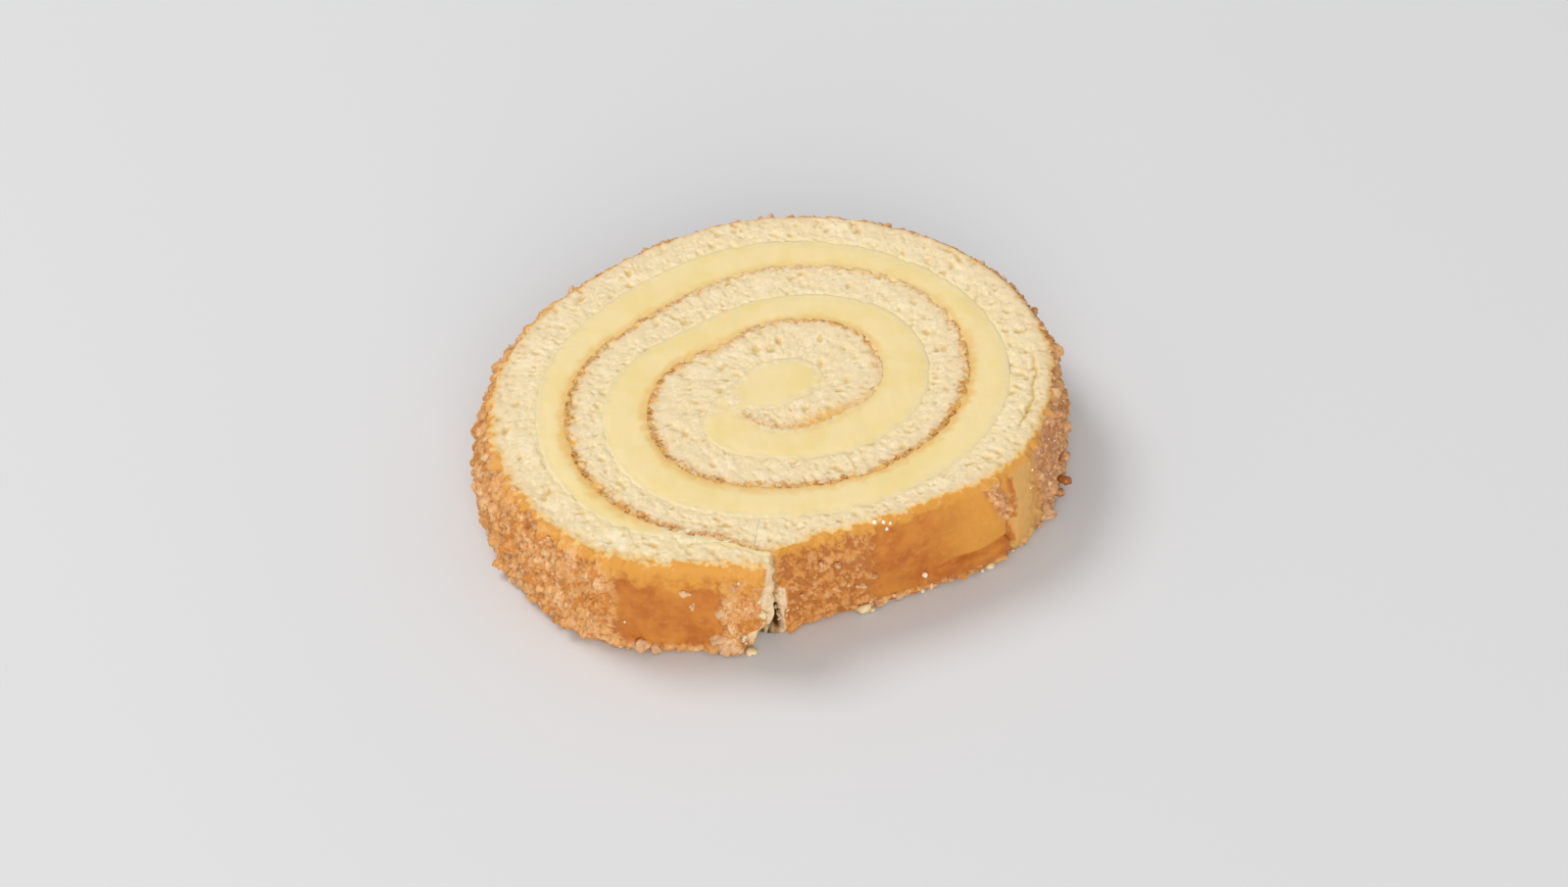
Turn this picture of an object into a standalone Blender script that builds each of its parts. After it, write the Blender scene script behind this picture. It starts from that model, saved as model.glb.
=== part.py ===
"""A slice of rolled sponge cake with a cream filling, lying flat with its cut face up.

The cake is a sheet of sponge, browned on its outer side and spread with cream on its inner
side, rolled up from one end. The slice shows it as a spiral. Everything is worked out from the
spiral of the browned side (its radius at each eighth of a turn), from how thick the sponge is
there, and from how the outer wall leans and is rounded between the slice's two cut faces.

Sizes are in millimetres and angles in degrees until the last step, which writes metres. Angles
run clockwise seen from above, and 0 is towards -Y, where the loose end of the sheet shows.
"""

import math

import bmesh
import bpy
from mathutils import Vector

MM = 0.001

# The slice.
THICKNESS = 19.0
CLEARANCE = 0.3  # kept between surfaces that touch in the real cake
STATION_STEP = 5.0  # degrees between the sections of the spiral

# The sheet, from its loose end outside to its other end near the middle.
KNOT_STEP = 45.0
CRUST_RADII = (
    (48.6, 52.8, 51.2, 46.9, 48.7, 49.5, 46.8, 39.4),
    (38.9, 41.3, 37.4, 31.0, 33.1, 35.4, 32.2, 28.1),
    (26.7, 27.4, 22.7, 16.1, 17.8, 19.2, 16.8, 12.4),
    (12.0, 10.6, 8.5),
)
SPONGE_THICKNESSES = (
    (10.2, 8.3, 9.0, 8.4, 8.5, 9.1, 8.0, 5.0),
    (5.8, 6.6, 7.5, 8.4, 9.0, 8.7, 7.5, 7.0),
    (8.0, 9.0, 14.0, 9.4, 11.3, 12.0, 10.7, 8.2),
    (7.0, 2.6, 2.0),
)
SHEET_START = 4.0
SHEET_END = 1128.0
LEAST_FILLING = 0.8

# The loose end is thin, and the sheet below it swells beside the seam.
FLAP_THINNING = 2.8
FLAP_THIN_FROM = 15.0
FLAP_THIN_TO = 38.0
SEAM_SWELLING = 2.8
SEAM_SWELLING_AT = 364.0
SEAM_SWELLING_WIDTH = 8.0

# An upright fold in the outer wall, to the right of the seam.
FOLD_HEIGHT = 2.5
FOLD_AT = 300.0
FOLD_WIDTH = 17.0

# The outer wall: its rounded edges, and how far it stands out between them.
TOP_ROUNDING = 1.6
BOTTOM_ROUNDING = 0.9
WALL_BULGE = 0.9
WALL_FLARE = 2.4  # how much wider the slice is at its bottom, at its left and right
WALL_HEIGHTS = (0.0, BOTTOM_ROUNDING, 0.42 * THICKNESS, THICKNESS - TOP_ROUNDING, THICKNESS)

CRUMB_COLOUR = (0.87, 0.76, 0.46, 1.0)
CRUST_COLOUR = (0.55, 0.26, 0.07, 1.0)
FILLING_COLOUR = (0.86, 0.71, 0.30, 1.0)


def smooth_step(low, high, value):
    share = min(max((value - low) / (high - low), 0.0), 1.0)
    return share * share * (3.0 - 2.0 * share)


def swelling(angle, centre, width):
    """A smooth bump of height 1 at centre that has faded out a few widths away."""
    return math.exp(-(((angle - centre) / width) ** 2))


def through_knots(turns, angle):
    """The value at angle on a smooth curve through values that stand KNOT_STEP apart."""
    values = [value for turn in turns for value in turn]
    place = min(max(angle / KNOT_STEP, 0.0), len(values) - 1.001)
    first = int(place)
    share = place - first
    before, start, end, after = (
        values[min(max(first + step, 0), len(values) - 1)] for step in (-1, 0, 1, 2)
    )
    slope_in = (end - before) / 2.0
    slope_out = (after - start) / 2.0
    bend = 2.0 * (start - end) + slope_in + slope_out
    lean = 3.0 * (end - start) - 2.0 * slope_in - slope_out
    return ((bend * share + lean) * share + slope_in) * share + start


def crust_radius(angle):
    """Radius of the sheet's browned side, at the top of the slice."""
    radius = through_knots(CRUST_RADII, angle)
    radius -= FLAP_THINNING * (1.0 - smooth_step(FLAP_THIN_FROM, FLAP_THIN_TO, angle))
    radius += SEAM_SWELLING * swelling(angle, SEAM_SWELLING_AT, SEAM_SWELLING_WIDTH)
    radius += FOLD_HEIGHT * swelling(angle, FOLD_AT, FOLD_WIDTH)
    return radius


def spread_radius(angle):
    """Radius of the sheet's other side. Where there is no cream, it lies on the turn below."""
    radius = through_knots(CRUST_RADII, angle) - through_knots(SPONGE_THICKNESSES, angle)
    if angle + 360.0 > SHEET_END:
        return radius
    return max(radius, crust_radius(angle + 360.0) + CLEARANCE)


def outer_wall_offset(angle, height):
    """How far the wall stands outside the top edge, on the turn that shows, at this height."""
    if angle > 360.0 + SHEET_START:
        return 0.0
    share = height / THICKNESS
    bulge = WALL_BULGE * math.sin(math.pi * share)
    flare = WALL_FLARE * (1.0 - share) * math.sin(math.radians(angle)) ** 2
    rounding = 0.0
    if height < BOTTOM_ROUNDING:
        rounding = BOTTOM_ROUNDING - height
    if height > THICKNESS - TOP_ROUNDING:
        rounding = 0.5 * (height - THICKNESS + TOP_ROUNDING)
    fade = 1.0 - smooth_step(350.0, 360.0 + SHEET_START, angle)
    return (bulge + flare - rounding) * fade


def at(angle, radius):
    turn = math.radians(angle)
    return Vector((-radius * math.sin(turn), -radius * math.cos(turn)))


def stations(first, last):
    count = max(2, round((last - first) / STATION_STEP))
    return [first + (last - first) * step / count for step in range(count + 1)]


def sponge_outline(height):
    angles = stations(SHEET_START, SHEET_END)
    outer = [at(a, crust_radius(a) + outer_wall_offset(a, height)) for a in angles]
    inner = [at(a, spread_radius(a)) for a in reversed(angles)]
    return outer + inner


def filling_start():
    """The first angle at which the cream between two turns is thick enough to be a layer."""
    angle = SHEET_START
    while spread_radius(angle) - crust_radius(angle + 360.0) < LEAST_FILLING + 2.0 * CLEARANCE:
        angle += 1.0
    return angle


def filling_outline(_height):
    """Down the spread side of the sheet to the middle, round the sheet's end, and back out."""
    start = filling_start()
    spread = [at(a, spread_radius(a) - CLEARANCE) for a in stations(start, SHEET_END)]
    crust = [at(a, crust_radius(a) + CLEARANCE) for a in stations(start + 360.0, SHEET_END)]
    past_end = SHEET_END + math.degrees(CLEARANCE / crust_radius(SHEET_END))
    tip = [at(past_end, spread_radius(SHEET_END)), at(past_end, crust_radius(SHEET_END))]
    return spread + tip + crust[::-1]


def material(name, colour, roughness):
    made = bpy.data.materials.new(name)
    made.use_nodes = True
    shader = made.node_tree.nodes["Principled BSDF"]
    shader.inputs["Base Color"].default_value = colour
    shader.inputs["Roughness"].default_value = roughness
    shader.inputs["Metallic"].default_value = 0.0
    return made


def loft(name, outline_at, heights, centre):
    """A closed solid whose cross-section at each height is the outline there."""
    made = bmesh.new()
    rings = [
        [made.verts.new((*((point - centre) * MM), height * MM)) for point in outline_at(height)]
        for height in heights
    ]
    for lower, upper in zip(rings, rings[1:]):
        for here, there in zip(range(len(lower)), range(-1, len(lower) - 1)):
            made.faces.new((lower[there], lower[here], upper[here], upper[there]))
    made.faces.new(rings[0])
    made.faces.new(rings[-1])
    bmesh.ops.triangulate(made, faces=made.faces[:], ngon_method="BEAUTY")
    bmesh.ops.recalc_face_normals(made, faces=made.faces[:])
    mesh = bpy.data.meshes.new(name)
    made.to_mesh(mesh)
    made.free()
    mesh.shade_smooth()
    mesh.set_sharp_from_angle(angle=math.radians(40.0))
    return bpy.data.objects.new(name, mesh)


def outline_centre():
    """The middle of the slice's bounding box, seen from above."""
    points = [point for height in WALL_HEIGHTS for point in sponge_outline(height)]
    low = Vector((min(p.x for p in points), min(p.y for p in points)))
    high = Vector((max(p.x for p in points), max(p.y for p in points)))
    return (low + high) / 2.0


def paint_crust(sponge, centre):
    """The wall's faces, outside the cut faces and on the first turn, take the crust's material."""
    for face in sponge.data.polygons:
        if abs(face.normal.z) > 0.9:
            continue
        middle = face.center.xy / MM + centre
        if middle.length > crust_radius(360.0 + SHEET_START) - 4.0 and face.normal.xy.dot(middle) > 0:
            face.material_index = 1


def main():
    for left_over in list(bpy.data.objects):
        bpy.data.objects.remove(left_over)
    slice_of_roll = bpy.data.collections.new("swiss_roll_slice")
    bpy.context.scene.collection.children.link(slice_of_roll)

    centre = outline_centre()
    sponge = loft("sponge", sponge_outline, WALL_HEIGHTS, centre)
    sponge.data.materials.append(material("crumb", CRUMB_COLOUR, 0.9))
    sponge.data.materials.append(material("crust", CRUST_COLOUR, 0.5))
    paint_crust(sponge, centre)
    filling = loft("filling", filling_outline, (0.0, THICKNESS), centre)
    filling.data.materials.append(material("lemon_cream", FILLING_COLOUR, 0.35))
    for piece in (sponge, filling):
        slice_of_roll.objects.link(piece)


main()
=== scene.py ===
"""Looks of a slice of swiss roll: torn crumb, lemon cream, baked crust, and the crumbs on it.

The spiral is the same as in the CAD model. Lengths are in millimetres and angles in degrees
(clockwise seen from above, 0 towards -Y) until a mesh is made, which is in metres.
"""

import math

import bmesh
import bpy
import numpy as np
from mathutils import Matrix, Vector, kdtree, noise


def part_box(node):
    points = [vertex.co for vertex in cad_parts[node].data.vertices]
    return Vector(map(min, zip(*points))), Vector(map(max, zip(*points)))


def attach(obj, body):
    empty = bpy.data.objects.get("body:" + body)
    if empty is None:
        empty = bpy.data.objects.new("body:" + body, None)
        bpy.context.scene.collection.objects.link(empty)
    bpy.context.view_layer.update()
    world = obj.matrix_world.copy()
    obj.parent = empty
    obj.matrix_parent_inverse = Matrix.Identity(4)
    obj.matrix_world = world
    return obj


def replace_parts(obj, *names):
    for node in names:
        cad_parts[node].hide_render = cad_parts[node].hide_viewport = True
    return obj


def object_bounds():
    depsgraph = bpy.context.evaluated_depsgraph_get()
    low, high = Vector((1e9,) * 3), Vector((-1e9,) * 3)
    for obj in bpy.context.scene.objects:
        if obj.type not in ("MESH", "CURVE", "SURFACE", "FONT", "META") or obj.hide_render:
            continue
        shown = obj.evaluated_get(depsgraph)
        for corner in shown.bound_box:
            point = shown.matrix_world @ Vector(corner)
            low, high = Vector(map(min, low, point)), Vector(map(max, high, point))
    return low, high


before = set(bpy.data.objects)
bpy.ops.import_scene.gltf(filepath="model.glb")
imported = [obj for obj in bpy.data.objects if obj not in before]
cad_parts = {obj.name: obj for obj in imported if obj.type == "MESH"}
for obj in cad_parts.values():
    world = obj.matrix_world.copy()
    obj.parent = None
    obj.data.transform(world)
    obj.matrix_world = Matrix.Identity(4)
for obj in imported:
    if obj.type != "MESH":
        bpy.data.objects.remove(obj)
CAD_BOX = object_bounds()

MM = 0.001
FULL_TURN = 360.0
NOISE_SEED = 1

# ---------------------------------------------------------------------------------------------
# The spiral, as in the CAD model.

THICKNESS = 19.0
KNOT_STEP = 45.0
CRUST_RADII = (
    (48.6, 52.8, 51.2, 46.9, 48.7, 49.5, 46.8, 39.4),
    (38.9, 41.3, 37.4, 31.0, 33.1, 35.4, 32.2, 28.1),
    (26.7, 27.4, 22.7, 16.1, 17.8, 19.2, 16.8, 12.4),
    (12.0, 10.6, 8.5),
)
SPONGE_THICKNESSES = (
    (10.2, 8.3, 9.0, 8.4, 8.5, 9.1, 8.0, 5.0),
    (5.8, 6.6, 7.5, 8.4, 9.0, 8.7, 7.5, 7.0),
    (8.0, 9.0, 14.0, 9.4, 11.3, 12.0, 10.7, 8.2),
    (7.0, 2.6, 2.0),
)
SHEET_START = 4.0
SHEET_END = 1128.0
CLEARANCE = 0.3
FLAP_THINNING = 2.8
FLAP_THIN_FROM = 15.0
FLAP_THIN_TO = 38.0
SEAM_SWELLING = 2.8
SEAM_SWELLING_AT = 364.0
SEAM_SWELLING_WIDTH = 8.0
FOLD_HEIGHT = 2.5
FOLD_AT = 300.0
FOLD_WIDTH = 17.0
WALL_BULGE = 0.9
WALL_FLARE = 2.4

# How strong the brown line is, at the same knots. The first turn is the outer crust.
LINE_STRENGTHS = (
    (1.0, 1.0, 1.0, 1.0, 1.0, 1.0, 1.0, 1.0),
    (0.5, 0.95, 0.9, 0.65, 0.45, 0.5, 1.0, 0.9),
    (0.8, 0.85, 0.9, 0.7, 0.6, 0.85, 0.25, 0.7),
    (0.5, 0.4, 0.3),
)

# How wide the browning is, in millimetres from the rim, at these angles: on the cut face, and
# down the wall as a yellower band.
RIM_WIDTHS = ((4, 30, 60, 90, 270, 320, 345, 364), (2.3, 2.6, 2.2, 1.2, 1.1, 1.2, 1.6, 1.5))
RIM_BANDS = (
    (4, 28, 38, 75, 100, 270, 297, 312, 345, 364),
    (4.4, 3.6, 1.2, 0.8, 0.5, 0.5, 1.5, 2.0, 1.6, 2.4),
)
ORANGE_SMEAR_AT = 1040.0
LEDGE_HEIGHT = 4.6

# Where the crust fades out under the loose end: its swelling, and its browning.
OUTSIDE_FADES_FROM = 350.0
BROWNING_FADES = (362.5, 365.0)

# The groove beside the loose end, with a nick halfway up and a hole at its foot.
GROOVE_AT = FULL_TURN + 5.6
GROOVE_DEPTH = 0.25
HOLE_DEPTH = 4.8
HOLE_TORN_BACK = 5.2
NICK_DEPTH = 1.5
NICK_HEIGHT = 9.8
BARE_STRIP_AT = FULL_TURN + 2.4

# How far the outer wall is covered in baked crumbs, and how coarse they are, at these angles.
CRUMBLY_ANGLES = (4, 12, 15, 31, 36, 75, 100, 160, 220, 262, 280, 295, 300, 335, 345, 362)
CRUMBLY_SHARES = (0.9, 0.8, 0.1, 0.05, 1.0, 1.0, 0.75, 0.6, 0.65, 0.7, 0.45, 0.35, 0.02, 0.0, 0.7, 0.9)
COARSENESS = ((4, 80, 260, 340, 356), (1.1, 1.0, 0.85, 0.7, 0.62))

# How many there are.
GRANULES = 17000
CRUMB_PITS = 6500
CREAM_PITS = 5200
WALL_CRUMBS = 900
FOOT_CRUMBS = 110
FLAP_CRUMBS = 70
STRIP_CRUMBS = 60

# The squares of the bake map that show the slice from above and from below: corner and size.
TOP_CHART = ((0.005, 0.005), 0.72)
UNDER_CHART = ((0.735, 0.735), 0.26)

# The visible edges of the slice.
RIM_INSET = 1.4
RIM_DROP = 1.9
FOOT_INSET = 1.0
FOOT_RISE = 1.0
LEAST_ROUNDING = 0.12

# How far the crumb sinks where it meets the cream, and how far the cream runs in under it.
EDGE_SINKING = 0.22
CREAM_UNDERLAP = 1.3

# Mesh fineness. The sheet is made as two pieces, which part at SPLIT_ANGLE, under the loose end.
SPLIT_ANGLE = 368.0
CRUMB_CELL = 0.29
TOP_COLUMNS = 25
RIM_COLUMNS = 6
WALL_COLUMNS = 53
FOOT_COLUMNS = 3
UNDER_COLUMNS = 5
CREAM_CELL = 0.4

# The rings that round off the loose end: how much smaller each is, and how far it stands out.
END_RINGS = ((0.96, 0.30), (0.86, 0.55), (0.68, 0.75), (0.42, 0.85), (0.12, 0.90))


def through_knots(turns, angle):
    """The value at angle on a smooth curve through values that stand KNOT_STEP apart."""
    values = np.concatenate([np.array(turn) for turn in turns])
    place = np.clip(np.asarray(angle, float) / KNOT_STEP, 0.0, len(values) - 1.001)
    first = place.astype(int)
    share = place - first
    before, start, end, after = (
        values[np.clip(first + step, 0, len(values) - 1)] for step in (-1, 0, 1, 2)
    )
    slope_in = (end - before) / 2.0
    slope_out = (after - start) / 2.0
    bend = 2.0 * (start - end) + slope_in + slope_out
    lean = 3.0 * (end - start) - 2.0 * slope_in - slope_out
    return ((bend * share + lean) * share + slope_in) * share + start


def smooth_step(low, high, value):
    share = np.clip((np.asarray(value, float) - low) / (high - low), 0.0, 1.0)
    return share * share * (3.0 - 2.0 * share)


def swelling(angle, centre, width):
    return np.exp(-(((np.asarray(angle, float) - centre) / width) ** 2))


def crust_radius(angle):
    radius = through_knots(CRUST_RADII, angle)
    radius = radius - FLAP_THINNING * (1.0 - smooth_step(FLAP_THIN_FROM, FLAP_THIN_TO, angle))
    radius = radius + SEAM_SWELLING * swelling(angle, SEAM_SWELLING_AT, SEAM_SWELLING_WIDTH)
    return radius + FOLD_HEIGHT * swelling(angle, FOLD_AT, FOLD_WIDTH)


def spread_radius(angle):
    angle = np.asarray(angle, float)
    radius = through_knots(CRUST_RADII, angle) - through_knots(SPONGE_THICKNESSES, angle)
    below = np.where(angle + FULL_TURN > SHEET_END, 0.0, crust_radius(angle + FULL_TURN) + CLEARANCE)
    return np.maximum(radius, below)


def outside_share(angle):
    """1 on the turn whose crust shows, fading to 0 where it dips under the loose end."""
    return 1.0 - smooth_step(OUTSIDE_FADES_FROM, FULL_TURN + SHEET_START, angle)


def browned_share(angle):
    """1 where the crust is in sight, fading to 0 in the groove beside the loose end."""
    return 1.0 - smooth_step(*BROWNING_FADES, angle)


def wall_offset(angle, height):
    """How far the outer wall stands outside the spiral at this height, without its roundings."""
    share = np.clip(height / THICKNESS, 0.0, 1.0)
    bulge = WALL_BULGE * np.sin(np.pi * share)
    flare = WALL_FLARE * (1.0 - share) * np.sin(np.radians(angle)) ** 2
    return (bulge + flare) * outside_share(angle)


def cad_pole():
    """Where the middle of the spiral lies in the frame, from the CAD model's own box."""
    angle = np.arange(SHEET_START, FULL_TURN + SHEET_START, 5.0)
    foot = crust_radius(angle) + wall_offset(angle, 0.42 * THICKNESS)
    turn = np.radians(angle)
    lowest = np.array([(-foot * np.sin(turn)).min(), (-foot * np.cos(turn)).min()])
    return np.array(CAD_BOX[0].xy) / MM - lowest


POLE = cad_pole()


def spiral_points(angle, radius, height):
    """Points of the frame, in millimetres, from places on the spiral."""
    turn = np.radians(angle)
    x = POLE[0] - radius * np.sin(turn)
    y = POLE[1] - radius * np.cos(turn)
    return np.stack(np.broadcast_arrays(x, y, height), axis=-1)


def even_angles(first, last, spacing):
    """Angles along the sheet that stand an even length apart, measured inside its crust."""
    step = 0.25
    fine = np.arange(first, last, step)
    middle = (crust_radius(fine) + 0.3 * spread_radius(fine)) / 1.3
    length = np.concatenate([[0.0], np.cumsum(np.radians(step) * middle[:-1])])
    count = int(length[-1] / spacing)
    return np.interp(np.linspace(0.0, length[-1], count), length, fine)


# ---------------------------------------------------------------------------------------------
# Relief.


def noise_at(points, size, octaves=1, seed=0.0):
    """Smooth noise at each point, about -1 to 1, whose largest features are size mm apart."""
    places = (np.asarray(points).reshape(-1, 3) / size + seed).tolist()
    if octaves == 1:
        values = [noise.noise(place) for place in places]
    else:
        values = [noise.fractal(place, 1.0, 2.0, octaves) for place in places]
    return np.array(values).reshape(np.asarray(points).shape[:-1])


def warped(points, size, amount, seed=0.0):
    """The points, each moved by a smooth noise, so that round shapes measured from them look torn."""
    flat = np.asarray(points).reshape(-1, 3)
    moves = [noise.noise_vector(place) for place in (flat / size + seed).tolist()]
    return (flat + amount * np.array(moves)).reshape(np.asarray(points).shape)


def bumps_at(points, centres, radii, heights, stretch, tones):
    """At each point, the height of the tallest of many bumps, and that bump's tone.

    stretch holds each bump's long direction, and how many times longer it is that way.
    """
    flat = np.asarray(points).reshape(-1, 3)
    tree = kdtree.KDTree(len(flat))
    for index, point in enumerate(flat.tolist()):
        tree.insert(point, index)
    tree.balance()
    tallest, tone_there = np.zeros(len(flat)), np.full(len(flat), 0.5)
    bumps = zip(centres, radii, heights, stretch, tones)
    for centre, radius, height, (*direction, longer), tone in bumps:
        near = tree.find_range(centre.tolist(), radius * longer)
        found = np.array([index for _, index, _ in near], int)
        if not len(found):
            continue
        away = flat[found] - centre
        along = away @ np.array(direction)
        distance = np.maximum((away**2).sum(1) - along**2, 0.0) + (along / longer) ** 2
        bump = height * np.clip(1.0 - distance / radius**2, 0.0, 1.0)
        taller = bump > tallest[found]
        tallest[found[taller]] = bump[taller]
        tone_there[found[taller]] = tone
    shape = np.asarray(points).shape[:-1]
    return tallest.reshape(shape), tone_there.reshape(shape)


def crumb_pits(points, count, seed):
    """Torn pores in a cut face: the depth of the deepest one at each point."""
    draw = np.random.default_rng(seed)
    centres = draw.uniform(np.array(CAD_BOX[0]) / MM, np.array(CAD_BOX[1]) / MM, (count, 3))
    centres[:, 2] = THICKNESS
    radii = np.clip(draw.lognormal(math.log(0.27), 0.45, count), 0.17, 0.75)
    turn = draw.normal(0.0, 0.7, count)
    stretch = np.stack([np.sin(turn), np.cos(turn), 0.0 * turn, draw.uniform(1.0, 2.2, count)], axis=1)
    torn = warped(points, 0.9, 0.4, seed)
    return bumps_at(torn, centres, radii, 0.08 + 0.7 * radii, stretch, 0.0 * radii)[0]


def ridge_share(angle, height):
    """A rough slanting ridge beside the fold, 1 at its middle."""
    return swelling(angle, 303.9 + 0.5 * (height - 10.0), 2.0) * smooth_step(8.0, 10.5, height)


def crumbliness(angle, height):
    """How far the outer crust is covered in baked crumbs, 0 to 1."""
    around = np.interp(angle, CRUMBLY_ANGLES, CRUMBLY_SHARES)
    ridge = 0.9 * ridge_share(angle, height)
    foot = 0.6 * (1.0 - smooth_step(1.0, 3.5, height))
    return np.clip(around + ridge + foot, 0.0, 1.0)


def granules(points):
    """Flakes and grains baked onto the outer wall: the tallest at each point, and its tone."""
    draw = np.random.default_rng(5)
    angle = draw.uniform(SHEET_START, FULL_TURN + SHEET_START, GRANULES)
    height = draw.uniform(-0.5, THICKNESS + 0.2, GRANULES)
    kept = draw.uniform(size=GRANULES) < smooth_step(0.08, 1.0, crumbliness(angle, height))
    angle, height = angle[kept], height[kept]
    centres = spiral_points(angle, crust_radius(angle) + wall_offset(angle, height), height)
    coarseness = np.interp(angle, *COARSENESS)
    radii = np.clip(draw.lognormal(math.log(0.48), 0.45, len(angle)) * coarseness, 0.26, 1.5)
    heights = radii * draw.uniform(0.5, 1.7, len(angle))
    directions = draw.normal(size=(len(angle), 3))
    directions /= np.linalg.norm(directions, axis=1)[:, None]
    stretch = np.column_stack([directions, draw.uniform(1.0, 2.2, len(angle))])
    tones = draw.uniform(size=len(angle))
    return bumps_at(warped(points, 0.55, 0.65, 3.0), centres, radii, heights, stretch, tones)


def seam_gap(angle, height):
    """How deep the groove beside the loose end of the sheet is. It opens into a hole at the foot."""
    hole = 1.0 - smooth_step(5.5, 8.0, height)
    nick = swelling(height, NICK_HEIGHT, 1.0)
    depth = GROOVE_DEPTH + HOLE_DEPTH * hole + NICK_DEPTH * nick
    under = depth * swelling(angle, GROOVE_AT, 1.4 + 1.0 * hole)
    reach = 2.0 + 1.2 * hole + 0.6 * np.sin(1.9 * height)
    thinned = (1.3 + 0.9 * hole) * (1.0 - smooth_step(SHEET_START, SHEET_START + reach, angle))
    return np.where(angle > 180.0, under, thinned)


def torn_back(angle, height):
    """Degrees by which the loose end of the sheet is torn back at this height."""
    hole = 1.0 - smooth_step(5.0, 7.2, height)
    corner = 1.0 - smooth_step(1.2, 2.6, height)
    ragged = 0.5 * noise_at(np.stack([height, 0.0 * height, 0.0 * height], axis=-1), 2.0, 3, 95.0)
    nick = swelling(height, NICK_HEIGHT, 0.8)
    back = HOLE_TORN_BACK * hole - 0.6 * corner + 1.5 * nick + ragged
    return back * (1.0 - smooth_step(SHEET_START, SHEET_START + 7.0, angle))


def tornness(points, angle, height):
    """Where the crust is torn off and bare crumb shows: the loose end, and a strip across the groove."""
    ragged = 0.7 * noise_at(points, 1.6, 3, 81.0)
    reach = 0.5 + 1.3 * swelling(height, 13.0, 2.6)
    torn_edge = 1.0 - smooth_step(reach, reach + 0.9, angle - SHEET_START + ragged)
    strip = swelling(angle + ragged, BARE_STRIP_AT, 1.3) * (1.0 - smooth_step(9.5, 12.5, height))
    return np.where(angle > 180.0, strip, torn_edge)


def fold_crease(angle, height):
    """The upright crease beside the fold, and the ledge that runs from it along the foot."""
    leaning = swelling(angle, 303.2 + 0.05 * (height - 8.0), 0.9)
    crease = 1.7 * leaning * (1.0 - smooth_step(10.5, 14.0, height))
    above = height - LEDGE_HEIGHT - 0.3 * np.sin(0.5 * angle)
    reach = smooth_step(303.0, 304.5, angle) * (1.0 - smooth_step(315.0, 325.0, angle))
    ledge = 1.1 * np.exp(-((above / 0.55) ** 2)) - 0.7 * (1.0 - smooth_step(-0.3, 0.1, above))
    return crease + ledge * reach


# ---------------------------------------------------------------------------------------------
# Meshes.


def new_piece(name, points, faces, material, attributes, bake_map=None):
    """A mesh object in metres from points in millimetres, with one number per point and attribute."""
    mesh = bpy.data.meshes.new(name)
    mesh.from_pydata((points.reshape(-1, 3) * MM).tolist(), [], faces)
    for attribute, values in attributes.items():
        layer = mesh.attributes.new(attribute, "FLOAT", "POINT")
        layer.data.foreach_set("value", np.asarray(values, np.float32).ravel())
    if bake_map is not None:
        layer = mesh.uv_layers.new(name="OFBake")
        layer.data.foreach_set("uv", np.asarray(bake_map, np.float32).ravel())
    mesh.materials.append(material)
    mesh.shade_smooth()
    mesh.validate()
    piece = bpy.data.objects.new(name, mesh)
    bpy.context.scene.collection.objects.link(piece)
    return piece


def grid_quads(rows, columns, closed):
    """Corner indices of the quads of a grid of points, rows by columns, as a (count, 4) array."""
    row = np.arange(rows - 1)[:, None]
    column = np.arange(columns if closed else columns - 1)[None, :]
    after = (column + 1) % columns
    here, next_row = row * columns, (row + 1) * columns
    corners = np.broadcast_arrays(here + column, next_row + column, next_row + after, here + after)
    return np.stack(corners, axis=-1).reshape(-1, 4)


def chart_corners(chart, quads):
    """Map places of the corners of quads, from a chart that has one place for each point."""
    return chart.reshape(-1, 2)[quads]


def planar_chart(points, corner, size):
    """A map of points as seen from above, filling the square that starts at corner."""
    flat = points[..., :2]
    low = flat.reshape(-1, 2).min(0)
    span = (flat.reshape(-1, 2).max(0) - low).max()
    return np.array(corner) + (flat - low) / span * size


def strip_chart(quads, rows, columns, first, last):
    """Map places for the wall's quads: three level strips above the plan view's chart."""
    row = quads // columns
    strip = np.minimum(row.min(1) * 3 // (rows - 1), 2)[:, None]
    along = (row / (rows - 1)) * 3 - strip
    # The quads of the last column run on to the first one.
    column = quads % columns
    wrapped = (column == 0) & (quads[:, :1] % columns == columns - 1)
    column = np.where(wrapped, columns, column)
    across = (column - first) / (last - first)
    return np.stack([0.005 + 0.70 * along, 0.74 + 0.085 * strip + 0.075 * across], axis=-1)


def ragged_edge(angle):
    """How far the crumb's upper edge strays from the plain spiral where it meets the cream."""
    along = np.radians(angle) * crust_radius(angle)
    pressed_on = 0.6 * (1.0 - smooth_step(8.0, 24.0, angle))
    return 0.5 * noise_at(np.stack([along, 0.0 * along, 0.0 * along], axis=-1), 2.6, 3, 91.0) - pressed_on


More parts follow.
